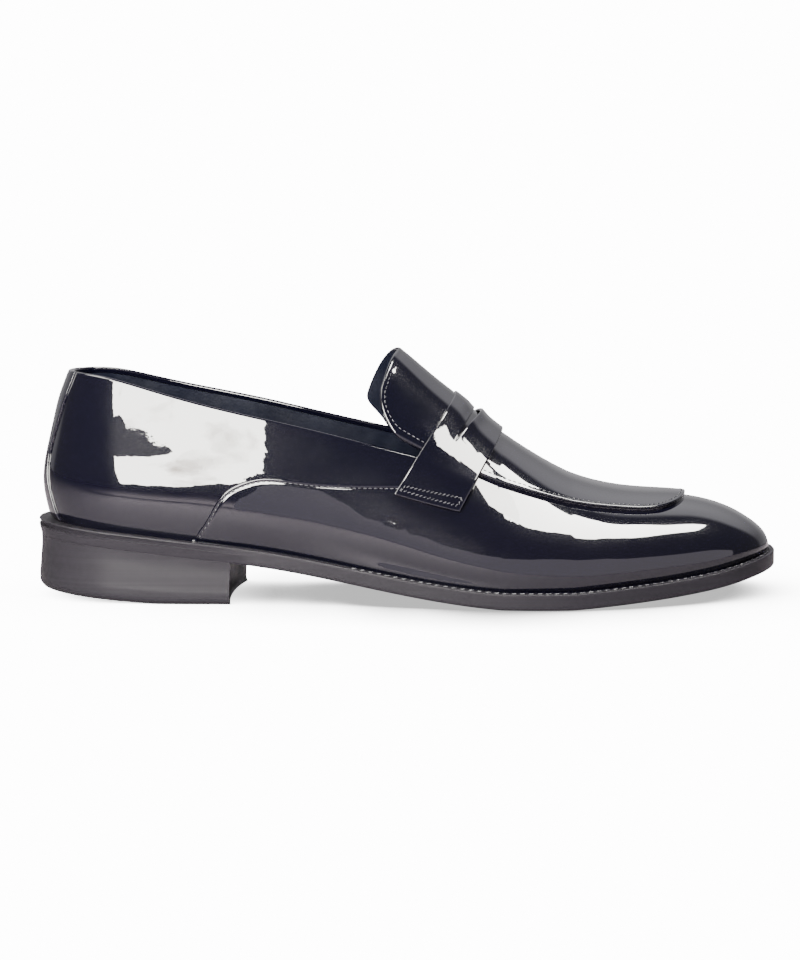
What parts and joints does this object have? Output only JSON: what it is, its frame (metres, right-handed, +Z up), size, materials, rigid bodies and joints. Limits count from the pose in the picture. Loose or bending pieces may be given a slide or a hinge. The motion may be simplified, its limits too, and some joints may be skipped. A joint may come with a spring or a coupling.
{
  "type": "patent slip-on shoe",
  "caption": "Low black patent loafer for the right foot with a raised apron, a tongue, a slotted saddle strap, a welted sole and a low block heel.",
  "frame": {"origin": "under the middle of the shoe's box, on the surface it stands on", "axes": "+X from heel to toe, +Y towards the inner side of the right foot, +Z up"},
  "size_m": [0.3, 0.1044, 0.0998],
  "materials": {
    "patent": "mirror gloss black patent",
    "sole": "satin dark edge with fine lengthwise trimming lines",
    "welt": "satin dark edge",
    "lining": "smooth dark blue-black lining",
    "thread": "waxed black thread"
  },
  "bodies": {
    "root": {"outsole": "sole", "heel": "sole", "welt": "welt", "insole": "lining", "upper": "patent", "apron_tongue": "patent", "saddle_strap": "patent", "backstay": "patent"}
  },
  "joints": []
}
